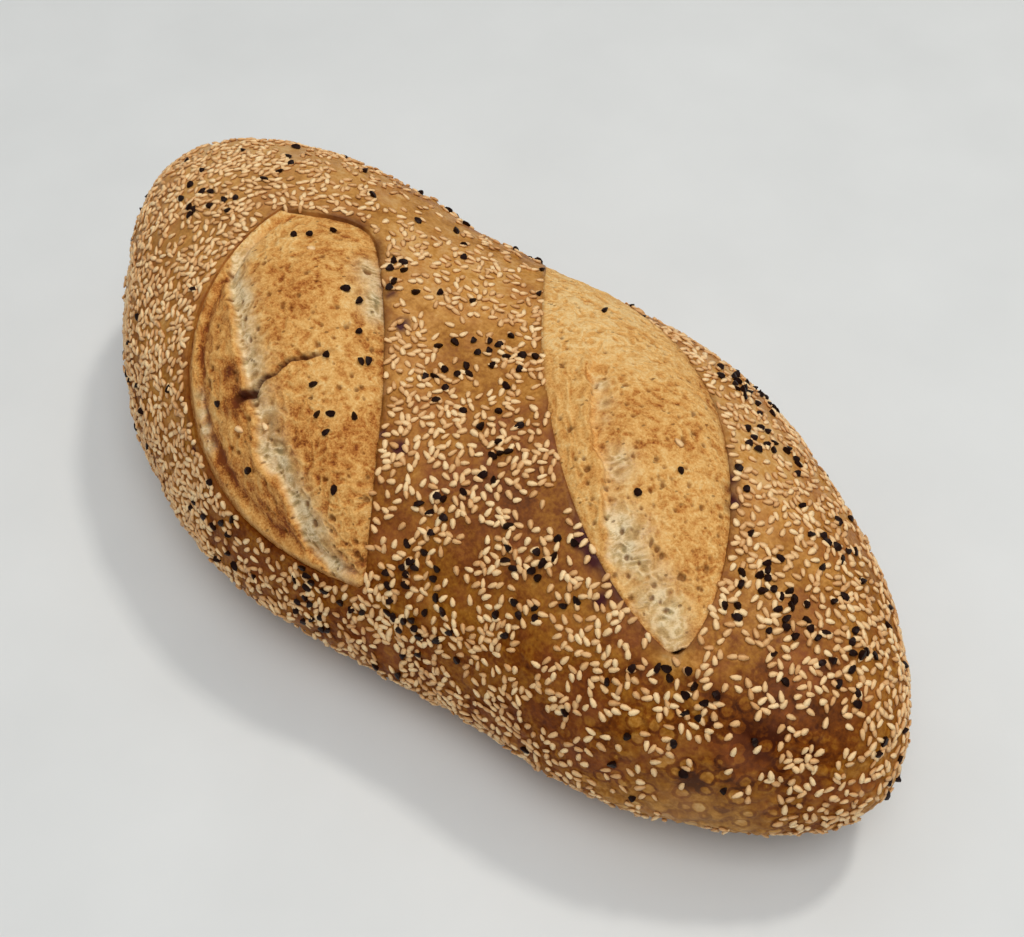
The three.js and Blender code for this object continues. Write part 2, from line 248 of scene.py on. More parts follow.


# An edge gives its bulge, where it is widest, how full and how blunt it is, and how soon it opens.
# Marks on a bloom give share along the slash, place across it, radius and strength; hollows have no strength.
# Each edge's darkened lip, given for a few shares of its length, is partly scorched crust and partly painted
# shade in the crease.
TAIL_SLASH = Slash(
    "tail", centre=(-24.8, -34.3, 73.8), lean=-28, heading=-34, length=106,
    near_edge=(31.5, 1.05, 2.15, 0.95, 0.01), far_edge=(22, 0.53, 2.6, 0.8, 0.062),
    bloom={
        "crown": 5, "rise": [(0, 0.35), (0.3, 1), (1, 0.9)],
        "tip_steepness": 4, "near_steepness": 2.2, "far_steepness": 3.2,
        "near_lip": [(0, 0.1), (0.5, 0.4), (1, 0.3)],
        "far_lip": [(0, 0.7), (0.35, 0.5), (0.6, 0), (1, -0.2)],
        "near_burn": [(0, 0.05), (0.25, 0.1), (0.4, 0.35), (0.65, 0.5), (0.8, 0.2), (1, 0.3)],
        "far_burn": [(0, 0.4), (0.1, 0.75), (0.6, 0.6), (0.85, 0.3), (1, 0.1)],
        "stains": [(0.34, 1.08, 2, 0.9), (0.43, 1.2, 2.6, 0.9), (0.745, 1.4, 3, 0.9), (0.7, 1.05, 1.6, 1),
                   (0.5, -1.06, 1.6, 0.9), (0.56, -1.07, 1.4, 0.9)],
        "seam": [(0.05, -0.8), (0.18, -0.72), (0.24, -0.59), (0.31, -0.44), (0.37, -0.39), (0.48, -0.34),
                 (0.58, -0.36), (0.65, -0.4), (0.75, -0.37), (0.83, -0.4), (0.88, -0.47), (0.97, -0.7)],
        "seam_depth": 1.6, "seam_from": 0.06, "seam_to": 1, "seam_pale": 1, "rope": 1,
        "paleness": 0.9,
        "tear": [(-0.5, 0.508), (-0.35, 0.528), (-0.25, 0.516), (-0.11, 0.494), (0.02, 0.491), (0.18, 0.49),
                 (0.35, 0.487), (0.55, 0.489)],
        "tear_depth": 1.7,
        "toast": 0.53, "band_toast": 0.1,
        "patches": [(0.24, 0.18, 8, 0.1), (0.35, 0.12, 10, 0.1), (0.64, 0, 8, 0.13), (0.73, 0.12, 7, 0.12),
                    (0.45, -0.5, 3, 0.4), (0.525, -0.53, 3, 0.4), (0.82, -0.63, 5, 0.3),
                    (0.36, 0.62, 7, -0.12), (0.7, 0.7, 8, 0.08), (0.95, 0, 12, 0.24), (0.1, -0.3, 9, -0.18)],
        "scorches": [(0.522, -0.48, 1.1, 1), (0.525, -0.42, 1.3, 1), (0.522, -0.36, 1.2, 1),
                     (0.45, -0.5, 1.5, 0.6), (0.47, -0.44, 1.2, 0.5), (0.545, -0.52, 1.4, 0.5)],
        "torn": [(0.25, 0.88, 3, 0.7), (0.3, 0.9, 3.4, 0.9), (0.35, 0.9, 3, 0.9), (0.4, 0.9, 3, 0.7)],
        # painted highlights: white glints along the band's near edge
        "painted_glints": [(0.46, -0.84, 1.5, 0.6), (0.5, -0.85, 1.6, 0.8), (0.54, -0.86, 1.6, 0.8),
                  (0.58, -0.87, 1.6, 0.7)],
        "pores": 110,
        "hollows": [(0.522, -0.46, 1.1), (0.525, -0.4, 1.3), (0.522, -0.34, 1.0), (0.27, 0.86, 0.7),
                    (0.29, -0.38, 0.7), (0.34, -0.34, 0.6), (0.4, -0.3, 0.7), (0.63, -0.22, 0.5),
                    (0.8, -0.2, 0.6), (0.84, -0.22, 0.7), (0.9, -0.1, 0.5)],
        "draw": 51,
    },
)
NOSE_SLASH = Slash(
    "nose", centre=(27.6, 20.2, 74.4), lean=8, heading=-33.6, length=147,
    near_edge=(17.9, 1.55, 2, 0.8, 0.01), far_edge=(25, 0.8, 2.3, 0.6, 0.282),
    bloom={
        "crown": 4, "rise": [(0, 0.05), (0.25, 0.1), (0.42, 0.4), (0.65, 1), (1, 1)],
        "tip_steepness": 2.2, "near_steepness": 2.6, "far_steepness": 3,
        "near_lip": [(0, 0.2), (0.65, 0.1), (0.8, 0.9), (0.95, 0.5)],
        "far_lip": [(0, 0), (0.2, -0.4), (0.5, -0.2), (0.6, 0.2), (0.8, 0), (1, 0.1)],
        "near_burn": [(0, 0.35), (0.6, 0.4), (0.74, 0.6), (0.8, 1), (0.92, 1), (1, 0.5)],
        "far_burn": [(0, 0.3), (0.45, 0.35), (0.66, 0.9), (0.8, 0.8), (0.9, 0.3), (1, 0.6)],
        "stains": [(0.75, 1.0, 3, 0.8), (0.79, 1.05, 3, 0.8), (0.81, -1.08, 2.5, 1), (0.845, -1.1, 2.5, 1),
                   (0.9, -1.35, 2.5, 0.8), (0.71, -1.15, 2, 0.5)],
        "seam": [(0.3, -0.15), (0.47, -0.3), (0.57, -0.39), (0.68, -0.5), (0.75, -0.6), (0.82, -0.74),
                 (0.85, -0.8), (0.92, -0.77), (0.98, -0.7)],
        "seam_depth": 1.5, "seam_from": 0.42, "seam_to": 0.97, "seam_pale": 0, "rope": 0,
        "paleness": 0.68,
        "tear": None,
        "tear_depth": 0,
        "toast": 0.46, "band_toast": -0.08,
        "patches": [(0.66, 0.1, 11, 0.1), (0.3, 0.0, 28, -0.22), (0.82, 0.45, 12, 0.05),
                    (0.6, -0.4, 6, -0.1)],
        "scorches": [(0.765, 0.97, 1.6, 0.6), (0.8, 0.98, 1.6, 0.5)],
        "torn": [(0.554, -0.27, 2.2, 0.8), (0.594, -0.29, 2.2, 0.9), (0.63, -0.36, 2, 0.7),
                 (0.702, -0.3, 3.6, 0.7), (0.732, -0.36, 3.6, 0.7), (0.79, -0.56, 3.6, 0.8),
                 (0.816, -0.56, 4, 0.9), (0.838, -0.64, 3.6, 0.8), (0.82, -0.15, 3, 0.5),
                 (0.864, -0.44, 3.6, 0.7), (0.9, -0.39, 4, 0.7), (0.924, -0.16, 4.5, 0.7),
                 (0.94, -0.36, 4, 0.7), (0.975, -0.29, 4.5, 0.9)],
        "painted_glints": [],
        "pores": 200,
        "hollows": [(0.58, 0.25, 0.7), (0.541, 0.04, 0.6), (0.708, -0.72, 0.8), (0.671, 0.62, 0.6),
                    (0.848, -0.15, 0.7), (0.858, -0.08, 1.0), (0.868, -0.02, 0.8), (0.904, 0.27, 0.8),
                    (0.894, 0.69, 0.8), (0.469, 0.68, 0.5), (0.409, -0.53, 0.5)],
        "draw": 52,
    },
)
SLASHES = [TAIL_SLASH, NOSE_SLASH]

# Seeds that strayed onto the crumb: share along, across
STRAY_NIGELLA = {
    "tail": [(0.126, 0.17), (0.132, 0.34), (0.12, 0.63), (0.333, 0.63), (0.368, 0.75), (0.449, 0.74),
             (0.496, 0.39), (0.524, 0.75), (0.525, 0.83), (0.561, 0.2), (0.629, 0.21), (0.637, 0.38),
             (0.655, 0.68), (0.674, 0.28), (0.798, 0.29), (0.681, -0.58), (0.505, -0.65)],
    "nose": [(0.349, 0.18), (0.739, 0.38), (0.767, -0.17)],
}
STRAY_SESAME = {"tail": [(0.186, 0.32), (0.59, -0.52), (0.606, -0.33)], "nose": [(0.691, 0.41)]}

# Photograph's frame and the camera that took it
IMAGE_WIDTH = 1024
FOCAL_PIXELS = 1500
SENSOR = 36
CAMERA_TARGET = (7.657, 6.017, 32.0)
CAMERA_DISTANCE = 400
CAMERA_ELEVATION = math.radians(51)
CAMERA_AZIMUTH = math.radians(46.186)
CAMERA_NEAREST = 10  # nothing nearer than this is drawn

# Soft square lights: way to the camera's right, away from it and up, distance and size in metres, watts,
# colour, and whether the light shows in the gloss
LIGHTS = {
    "lamp": ((0.35, 0.25, 1), 1.5, 0.14, 5.3, "#FFF9F0", True),
    "ceiling": ((0, 0, 1), 1.6, 2.5, 10.4, "#FFFFFF", True),
    "room": ((0.04, -0.42, 1), 2, 1.2, 17.4, "#FFFFFF", False),
}
ROOM_GLOW = 0.12
FLOOR_HALF = 2000
NOISE_RANGE = (0.3, 0.7)  # what a noise texture mostly stays within


# Small helpers
def linear(hex_colour):
    """An sRGB hex colour as the linear RGBA that a shader socket takes."""
    shares = [int(hex_colour[i:i + 2], 16) / 255 for i in (1, 3, 5)]
    return (*[c / 12.92 if c <= 0.04045 else ((c + 0.055) / 1.055) ** 2.4 for c in shares], 1.0)


def hump(distance, spread):
    return np.exp(-((distance / spread) ** 2))


def ease(value, low, high):
    """0 below low, 1 above high, and a smooth rise between."""
    share = np.clip((value - low) / (high - low), 0, 1)
    return share * share * (3 - 2 * share)


def unit(vectors):
    return vectors / np.maximum(np.linalg.norm(vectors, axis=-1, keepdims=True), 1e-12)


def lumps(points, size, draw):
    """Smooth noise from -1 to 1 in lumps of about this size, the same for the same draw."""
    side = 64
    lattice = np.random.default_rng(draw).uniform(-1, 1, (side, side, side))
    cell = np.asarray(points) / size
    low = np.floor(cell).astype(int)
    share = cell - low
    share = share * share * (3 - 2 * share)
    total = np.zeros(cell.shape[:-1])
    for corner in np.ndindex(2, 2, 2):
        weight = np.prod(np.where(corner, share, 1 - share), axis=-1)
        x, y, z = np.moveaxis((low + corner) % side, -1, 0)
        total += weight * lattice[x, y, z]
    return total


def layered(points, layers, draw=0):
    """Lumps of several sizes together, each layer given by its lump size, strength and draw."""
    return sum(strength * lumps(points, size, draw + own) for size, strength, own in layers)


def search_tree(points):
    tree = kdtree.KDTree(len(points))
    for i, point in enumerate(points):
        tree.insert(point, i)
    tree.balance()
    return tree


# The smooth loaf
def end_cap(s, bluntness):
    """1 at the middle of the loaf and 0 at its tips."""
    power = np.where(s < 0, *bluntness)
    return np.maximum(0, 1 - np.abs(s) ** power) ** (1 / power)


def loaf_points(s, angle):
    """The loaf without slashes: s runs from -1 at the tail to 1 at the nose, angle from +Y over the back."""
    plan_cap = end_cap(s, PLAN_BLUNTNESS)
    lift = np.sin(angle)
    side_power = np.where(lift > 0, SIDE_POWER, UNDER_SIDE_POWER)
    across = np.sign(np.cos(angle)) * np.abs(np.cos(angle)) ** side_power
    waist = hump(s + WAIST_SLANT * across, WAIST_SPAN)
    half_width = WIDTH / 2 * plan_cap * (1 - WAIST_PINCH * waist)
    back_rise = (HEIGHT * (1 - NOSE_LOWERING * s) - BELLY) * end_cap(s, BACK_BLUNTNESS)
    up = back_rise * (1 - WAIST_DIP * waist) * np.abs(lift) ** BACK_POWER
    under_cap = plan_cap ** np.where(s < 0, *UNDER_RISE)
    down = (BELLY + SETTLE) * under_cap * np.abs(lift) ** UNDER_POWER
    x = s * LENGTH / 2
    y = AXIS_SWAY * s * (1 - s * s) + TIP_LEAN * s * s + half_width * across
    z = np.maximum(0, BELLY + np.where(lift > 0, up, -down))
    return np.stack([x, y, z], axis=-1)


def loaf_normals(s, angle):
    step = 1e-3
    by_s = loaf_points(np.minimum(s + step, 1), angle) - loaf_points(np.maximum(s - step, -1), angle)
    by_angle = loaf_points(s, angle + step) - loaf_points(s, angle - step)
    return unit(np.cross(by_angle, by_s))


def find_on_loaf(slash, along, across, s, angle):
    """Places on the loaf at millimetres along and across a slash, from nearby first guesses."""
    step = 1e-5
    for _ in range(8):
        here = np.stack(slash.spot(loaf_points(s, angle)))
        by_s = (np.stack(slash.spot(loaf_points(s + step, angle))) - here) / step
        by_angle = (np.stack(slash.spot(loaf_points(s, angle + step))) - here) / step
        miss = np.stack([along, across]) - here
        spread = by_s[0] * by_angle[1] - by_s[1] * by_angle[0]
        s_move = (miss[0] * by_angle[1] - miss[1] * by_angle[0]) / spread
        angle_move = (by_s[0] * miss[1] - by_s[1] * miss[0]) / spread
        s = np.clip(s + np.clip(s_move, -0.05, 0.05), -0.99, 0.99)
        angle = angle + np.clip(angle_move, -0.1, 0.1)
    return s, angle


def guess_on_loaf(slash, along, across):
    """The nearest of a coarse set of places on the loaf's back, for each millimetres along and across."""
    s, angle = np.meshgrid(np.linspace(-0.9, 0.9, 180), np.linspace(-0.2, np.pi + 0.2, 130), indexing="ij")
    s, angle = s.ravel(), angle.ravel()
    points = loaf_points(s, angle)
    kept = points[:, 2] > LOWEST_CUT
    s, angle = s[kept], angle[kept]
    tree = search_tree([(a, b, 0) for a, b in zip(*slash.spot(points[kept]))])
    nearest = [tree.find((a, b, 0))[1] for a, b in zip(along.ravel(), across.ravel())]
    return s[nearest].reshape(along.shape), angle[nearest].reshape(along.shape)


# Meshes
def add_object(name, data):
    """An object of the scene from its mesh, camera or light."""
    added = bpy.data.objects.new(name, data)
    bpy.context.scene.collection.objects.link(added)
    return added


def grid_normals(points):
    """Outward directions of a grid whose rows run along the loaf and whose columns run round it."""
    along = np.gradient(points, axis=0)
    round_it = np.roll(points, -1, axis=1) - np.roll(points, 1, axis=1)
    return unit(np.cross(round_it, along))


def mesh_piece(name, points, faces, face_uv, looks, material, smooth=True):
    """One piece of the loaf from millimetre points and triangles, with its looks given for each point."""
    mesh = bpy.data.meshes.new(name)
    mesh.from_pydata(points * MM, [], faces)
    for look, values in looks.items():
        kind, field = ("FLOAT", "value") if values.ndim == 1 else ("FLOAT_VECTOR", "vector")
        layer = mesh.attributes.new(look, kind, "POINT")
        layer.data.foreach_set(field, np.ascontiguousarray(values, dtype=np.float32).ravel())
    unwrapped = mesh.uv_layers.new(name="OFBake")
    unwrapped.data.foreach_set("uv", np.ascontiguousarray(face_uv, dtype=np.float32).ravel())
    mesh.polygons.foreach_set("use_smooth", np.broadcast_to(smooth, len(faces)).astype(bool))
    mesh.update()
    mesh.materials.append(material)
    piece = add_object(name, mesh)
    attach(piece, "root")
    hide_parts("loaf")


# Crust
def crust_places():
    """The crust's grid, fine over the back and coarse underneath."""
    s = np.sin(np.linspace(-np.pi / 2, np.pi / 2, CRUST_RINGS + 1))
    over = np.linspace(-SIDE_REACH, np.pi + SIDE_REACH, BACK_STEPS, endpoint=False)
    under = np.linspace(np.pi + SIDE_REACH, 2 * np.pi - SIDE_REACH, UNDER_STEPS, endpoint=False)
    return np.meshgrid(s, np.concatenate([over, under]), indexing="ij")


def snap_to_lips(s, angle):
    """Moves the grid's points that lie beside a slash's outline onto it, and says which they are."""
    lip = np.zeros(s.shape, dtype=bool)
    for slash in SLASHES:
        for _ in range(2):
            points = loaf_points(s, angle)
            gap, way = slash.gap(points)
            beside = np.abs(gap) < LIP_SNAP
            along, across = slash.spot(points[beside])
            along = along - gap[beside] * way[0][beside]
            across = across - gap[beside] * way[1][beside]
            s[beside], angle[beside] = find_on_loaf(slash, along, across, s[beside], angle[beside])
        lip |= beside
    return s, angle, lip


def blister_heights(points, weights):
    """Small bubbles under the skin of the crust."""
    draw = np.random.default_rng(BLISTERS["draw"])
    flat = points.reshape(-1, 3)
    tree = search_tree(flat)
    heights = np.zeros(len(flat))
    rounds = np.zeros(len(flat))
    chances = weights.ravel() / weights.sum()
    for centre in draw.choice(len(flat), BLISTERS["count"], p=chances):
        radius = draw.uniform(*BLISTERS["radius"])
        height = draw.uniform(*BLISTERS["height"])
        if rounds[centre] > 0:  # no bubble starts inside another
            continue
        for _, i, distance in tree.find_range(flat[centre], radius):
            bubble = (1 - (distance / radius) ** 2) ** 1.5
            heights[i] = max(heights[i], height * bubble)
            rounds[i] = max(rounds[i], bubble)
    return heights.reshape(weights.shape), rounds.reshape(weights.shape)


def crust_zone(points, centre, radius):
    """1 at a place on the crust, falling away round it."""
    return hump(np.linalg.norm(points - np.array(centre), axis=-1), radius)


def crust_bake(points, out, gaps, rounds):
    """How far the oven browned each point of the crust; blisters are paler on top and ringed darker, partly
    as painted highlight and shade.
    """
    front = -out[..., 1]
    height = points[..., 2]
    bake = EVEN_BAKE + layered(points, BAKE_LUMPS) + FRONT_BAKE * ease(front, -0.3, 0.7)
    for place, radius, strength in BAKE_ZONES:
        bake += strength * crust_zone(points, place, radius)
    band = hump(height - FRONT_BAND["height"], FRONT_BAND["spread"])
    bake += FRONT_BAND["bake"] * ease(front, 0.1, 0.7) * band
    bake += FOOT_BAKE * (1 - ease(height, 8, 32))
    bake += LIP_BAKE["bake"] * hump(gaps, LIP_BAKE["spread"])
    ring = hump(rounds - 0.12, 0.1) * (rounds > 0)
    return bake + BLISTER_TONE_AND_SHADE["top"] * rounds + BLISTER_TONE_AND_SHADE["ring"] * ring


def crust_list(grid):
    """Values of the crust's grid in one list, with a single one for each tip of the loaf."""
    return np.concatenate([grid[:1, 0], grid[1:-1].reshape(-1, *grid.shape[2:]), grid[-1:, 0]])


def crust_faces(lip):
    """Triangles of the crust's grid, split along the lips, and the places of their corners on a map."""
    rings, sides = lip.shape
    row, column = np.meshgrid(np.arange(rings - 1), np.arange(sides), indexing="ij")
    row, column = row.ravel(), column.ravel()

    def number(r, c):
        inner = 1 + (r - 1) * sides + c % sides
        return np.where(r == 0, 0, np.where(r == rings - 1, 1 + (rings - 2) * sides, inner))

    corners = [(row, column), (row, column + 1), (row + 1, column + 1), (row + 1, column)]
    lips = [lip[r, c % sides] for r, c in corners]
    cross = lips[1] & lips[3] & ~(lips[0] & lips[2])
    faces, face_uv = [], []
    for straight, crossed in (((0, 1, 2), (0, 1, 3)), ((0, 2, 3), (1, 2, 3))):
        for picks, chosen in ((straight, ~cross), (crossed, cross)):
            numbers = np.stack([number(*corners[k])[chosen] for k in picks], axis=-1)
            uv = np.stack([np.stack([corners[k][0] / (rings - 1), corners[k][1] / sides], axis=-1)[chosen]
                           for k in picks], axis=1)
            whole = (numbers[:, 0] != numbers[:, 1]) & (numbers[:, 1] != numbers[:, 2])
            whole &= numbers[:, 0] != numbers[:, 2]
            faces.append(numbers[whole])
            face_uv.append(uv[whole])
    return np.concatenate(faces), np.concatenate(face_uv)


def make_crust(material):
    s, angle = crust_places()
    s, angle, lip = snap_to_lips(s, angle)
    points = loaf_points(s, angle)
    out = loaf_normals(s, angle)
    out[0] = (-1, 0, 0)
    out[-1] = (1, 0, 0)

    low_front = ease(-out[..., 1], 0, 0.7) * (1 - ease(points[..., 2], 20, 60))
    nose = PEBBLED_NOSE["strength"] * crust_zone(points, PEBBLED_NOSE["place"], PEBBLED_NOSE["radius"])
    pebbled = np.clip(0.35 * low_front + nose, 0, 1)
    chances = (0.15 + low_front + 3 * pebbled) * ease(points[..., 2], 3, 10) * np.sqrt(1.02 - s * s)
    bubbles, rounds = blister_heights(points, chances)
    relief = (layered(points, CRUST_LUMPS) + bubbles) * ease(points[..., 2], 1, 10)

    gaps = np.full(s.shape, LENGTH)
    inside = np.zeros(s.shape, dtype=bool)
    burn = np.zeros(s.shape)
    stain = np.zeros(s.shape)
    patchy = np.clip(0.75 + 0.7 * lumps(points, 5, 24), 0, 1)
    for slash in SLASHES:
        gap, _ = slash.gap(points)
        along, across = slash.spot(points)
        outside = np.maximum(gap, 0)
        share = along / slash.length + 0.5
        relief += slash.lip(share, across, outside)
        # Darker lips beside each slash: partly scorched crust, partly painted shade in the crease
        char_and_shade_share = slash.along_edge("burn", share, across)
        burn = np.maximum(burn, char_and_shade_share * hump(outside, 0.5 + 1.3 * char_and_shade_share) * patchy)
        blots = slash.spots(share, across, slash.bloom["stains"]) * patchy
        stain = np.maximum(stain, ease(blots, 0.25, 0.65))
        inside |= (gap < 0) & ~lip
        gaps = np.minimum(gaps, outside)
    relief = np.where(inside, -CUT_FLOOR, relief)
    points = points + out * relief[..., None]
    points[..., 2] = np.maximum(points[..., 2], 0)

    # Painted sheen: a pale tan where the crust faces up and on the tail's top; the nose's foot is paler too
    pale_and_sheen = PAINTED_SHEEN_BACK * ease(out[..., 2], 0.55, 0.95)
    for place, radius, strength in SHEEN_AND_PALE_ZONES:
        pale_and_sheen += strength * crust_zone(points, place, radius)
    looks = {
        "bake": crust_bake(points, out, gaps, rounds),
        "burn": burn,
        "stain": stain,
        "hearth": ease(-out[..., 2], 0.6, 0.9),
        "pebbles": pebbled * ease(points[..., 2], 5, 16),
        "gloss": SIDE_GLOSS + BACK_GLOSS * ease(out[..., 2], 0.5, 0.9),
        "pale_and_sheen": pale_and_sheen,
    }
    faces, face_uv = crust_faces(lip)
    open_skin = ~crust_list(inside)[faces].any(axis=1)  # walls inside the slashes stay flat, for crisp lips
    mesh_piece("crust", crust_list(points), faces, face_uv,
               {look: crust_list(values) for look, values in looks.items()}, material, open_skin)
    return {"points": points, "out": grid_normals(points), "gaps": np.where(inside, -1, gaps)}


# Crumb that burst out of a slash
def bloom_shape(slash, share, across, points):
    """Height of the burst crumb over the smooth loaf, and its looks."""
    bloom = slash.bloom
    draw = bloom["draw"]
    steepness = np.where(across < 0, bloom["near_steepness"], bloom["far_steepness"])
    dome = slash.ends(share) * (1 - np.minimum(1, np.abs(across)) ** steepness)
    rim = slash.lip(share, across, 0) - RIM_DEPTH
    crown = bloom["crown"] * np.interp(share, *np.array(bloom["rise"]).T)
    height = rim + (crown - rim) * dome - TUCK_DROP * np.maximum(0, np.abs(across) - 1)

    along_mm = share * slash.length
    across_mm = across * slash.half_width(share, across)
    flat = np.stack([along_mm, across_mm, np.zeros_like(share)], axis=-1)

    # The seam where the two sides parted: a crisp drop on its near side and a slow rise on its far side
    seam = np.interp(share, *np.array(bloom["seam"]).T)
    seam_off = across_mm - seam * slash.half_width(share, -1) + layered(flat, RAGGED_SEAM, draw)
    seam_on = ease(share, bloom["seam_from"], bloom["seam_from"] + 0.12)
    seam_on = seam_on * (1 - ease(share, bloom["seam_to"] - 0.08, bloom["seam_to"]))
    valley = np.where(seam_off < 0, hump(seam_off, SEAM_DROP), hump(seam_off, SEAM_RISE))
    ridge = SEAM_RIDGE["share"] * hump(seam_off + SEAM_RIDGE["away"], SEAM_RIDGE["spread"])
    height += bloom["seam_depth"] * seam_on * (ridge - valley) * np.minimum(1, dome * 2)
    opened = np.where(seam_off < 0, hump(seam_off, 0.5), hump(seam_off - 1.5, 3.8))
    patches = slash.spots(share, across_mm, bloom["torn"]) * ease(seam_off, -1.2, 0.2)
    torn = np.clip(np.maximum(bloom["seam_pale"] * seam_on * opened, patches), 0, 1)

    # The near edge rolled back to a smooth rope, with a groove beside it
    from_edge = (1 + across) * slash.half_width(share, -1)
    rope = hump(from_edge - ROPE["from_edge"], ROPE["spread"]) * np.minimum(1, dome * 4)
    groove = hump(from_edge - GROOVE["from_edge"], GROOVE["spread"]) * ease(dome, 0.1, 0.3)
    height += bloom["rope"] * (rope - GROOVE["depth"] * groove)

    # Walls of the open crumb: a net over most of it, stretched along the band and across the torn crumb
    bend = np.stack([lumps(flat, 3, draw + 2), lumps(flat, 3, draw + 3), 0 * share], axis=-1)
    bent = flat + WEB_BEND * bend
    band = seam_on * (1 - ease(seam_off, -2.5, 0))
    net = 1 - 2.6 * np.abs(layered(bent, NET_LUMPS, draw))
    folds = 1 - 2.4 * np.abs(lumps(bent * (0.22, 1, 1), 1.2, draw + 21))
    threads = 0.7 * lumps(bent * (1, 0.4, 1), 0.95, draw + 4) + 0.5 * lumps(bent, 1.3, draw + 22)
    strands = 1 - 2.4 * np.abs(threads)
    web = net + 0.7 * band * (folds - net)
    web = np.clip(web + torn * (strands - web), -1, 1)
    web_height = (WEB_HEIGHT + TORN_WEB_HEIGHT * torn) * web
    height += web_height * ease(dome, 0.05, 0.3) * (1 - bloom["rope"] * rope)

    # Lumps and small bubbles of the toasted skin
    height += 0.7 * dome * lumps(points, 16, draw + 5)
    height += 0.26 * lumps(points, 5, draw + 6) * ease(dome, 0, 0.4)
    height += layered(points, SKIN_GRAIN, draw)

    # The crack across the bloom, with its upper lobe standing over the lower one
    crack = np.zeros_like(share)
    if bloom["tear"]:
        tear_places, tear_shares = np.array(bloom["tear"]).T
        tear_off = (share - np.interp(across, tear_places, tear_shares)) * slash.length
        tear_off = tear_off + layered(flat, RAGGED_CRACK, draw)
        tear_on = ease(across, tear_places[0], tear_places[0] + 0.12)
        tear_on = tear_on * (1 - ease(across, tear_places[-1] - 0.45, tear_places[-1]))
        crack = tear_on * hump(tear_off, CRACK_SPREAD)
        height -= bloom["tear_depth"] * crack
        lobe = np.where(tear_off < 0, hump(tear_off, CRACK_LOBE["spread"]), 0)
        height += CRACK_LOBE["height"] * tear_on * lobe

    # Open pores and the larger hollows: sunk into the crumb, and also painted dark as their shade
    pick = np.random.default_rng(draw + 9)
    pits = list(bloom["hollows"])
    for _ in range(bloom["pores"]):
        pits.append((pick.uniform(0.1, 0.95), pick.uniform(-0.9, 0.9), pick.uniform(*PORE_RADIUS)))
    pit = np.zeros_like(share)
    uneven = 1 + layered(flat, UNEVEN_PITS, draw)
    for pit_share, pit_across, radius in pits:
        spot = pit_across * slash.half_width(np.array(pit_share), np.array(pit_across))
        away = np.hypot((along_mm - pit_share * slash.length) / 1.2, across_mm - spot)
        pit = np.maximum(pit, np.minimum(1, 0.3 + radius) * ease(1.2 - away * uneven / radius, 0, 0.9))
    height -= PIT_DEPTH * pit * ease(dome, 0, 0.2)

    toast = bloom["toast"] + layered(points, TOAST_LUMPS, draw) + 0.1 * hump(np.abs(across) - 1, 0.1)
    # The groove is painted darker as its shade, and the rope paler as a painted highlight
    toast += bloom["rope"] * (0.22 * groove * (1 + lumps(flat, 6, draw + 25)) - 0.16 * rope)
    toast += bloom["band_toast"] * (1 - ease(seam_off, -3, 0)) * seam_on
    toast += slash.spots(share, across_mm, bloom["patches"])
    # A dark line where the crumb tucks under the lip, partly scorched and partly painted shade in the crease;
    # the crack is painted dark as the shade inside it
    edge = slash.along_edge("burn", share, across) * hump(np.abs(across) - 1.02, 0.04)
    scorched = slash.spots(share, across_mm, bloom["scorches"]) * uneven
    # Painted highlights: white glints that pale the crumb at a few spots
    painted_glints = slash.spots(share, across_mm, bloom["painted_glints"]) * uneven
    paleness = bloom["paleness"] + layered(points, PALE_LUMPS, draw)
    looks = {
        "toast": toast,
        "pale": np.clip(painted_glints + torn * paleness, 0, 1),
        "burn": np.clip(1.5 * crack + 0.8 * edge + scorched, 0, 1),
        "pit": pit,
        "web": web,
        "lay": flat * MM,
    }
    return height, looks


def make_bloom(slash, material):
    steps_along = round(slash.length / BLOOM_CELL)
    steps_across = round((slash.near_edge[0] + slash.far_edge[0]) / BLOOM_CELL)
    share, across = np.meshgrid(np.linspace(0.006, 0.994, steps_along + 1),
                                np.linspace(-RIM_TUCK, RIM_TUCK, steps_across + 1), indexing="ij")
    along_mm = (share - 0.5) * slash.length
    across_mm = across * slash.half_width(share, across)
    s, angle = guess_on_loaf(slash, along_mm, across_mm)
    s, angle = find_on_loaf(slash, along_mm, across_mm, s, angle)
    points, out = loaf_points(s, angle), loaf_normals(s, angle)
    height, looks = bloom_shape(slash, share, across, points)
    top = points + out * height[..., None]
    floor = points - out * (CUT_FLOOR - UNDER_BLOOM)

    rows, columns = share.shape
    count = rows * columns
    numbers = np.arange(count).reshape(rows, columns)
    near_floor = count + np.arange(rows)
    far_floor = count + rows + np.arange(rows)
    rings = np.concatenate([near_floor[:, None], numbers, far_floor[:, None], near_floor[:, None]], axis=1)
    quads = np.stack([rings[:-1, :-1], rings[1:, :-1], rings[1:, 1:], rings[:-1, 1:]], axis=-1).reshape(-1, 4)
    r, c = np.meshgrid(np.arange(rows - 1), np.arange(columns + 2), indexing="ij")
    quad_uv = np.stack([np.stack([(r + i) / (rows - 1), (c + j) / (columns + 2)], axis=-1)
                        for i, j in ((0, 0), (1, 0), (1, 1), (0, 1))], axis=2).reshape(-1, 4, 2)
    faces = [quads[:, (0, 1, 2)], quads[:, (0, 2, 3)]]
    face_uv = [quad_uv[:, (0, 1, 2)], quad_uv[:, (0, 2, 3)]]
    for end, turn in ((0, 1), (-1, -1)):
        edge = np.concatenate([numbers[end], far_floor[[end]]])
        fan = np.stack([np.full(columns, near_floor[end]), edge[:-1], edge[1:]], axis=-1)[:, ::turn]
        faces.append(fan)
        face_uv.append(np.broadcast_to(np.array([[0, 0], [0.001, 0], [0, 0.001]]), (columns, 3, 2)))

    all_points = np.concatenate([top.reshape(-1, 3), floor[:, 0], floor[:, -1]])
    looks = {look: np.concatenate([values.reshape(-1, *values.shape[2:]), values[:, 0], values[:, -1]])
             for look, values in looks.items()}
    mesh_piece(slash.name + "_bloom", all_points, np.concatenate(faces), np.concatenate(face_uv),
               looks, material)
    return {"points": top, "out": out, "share": share, "across": across}


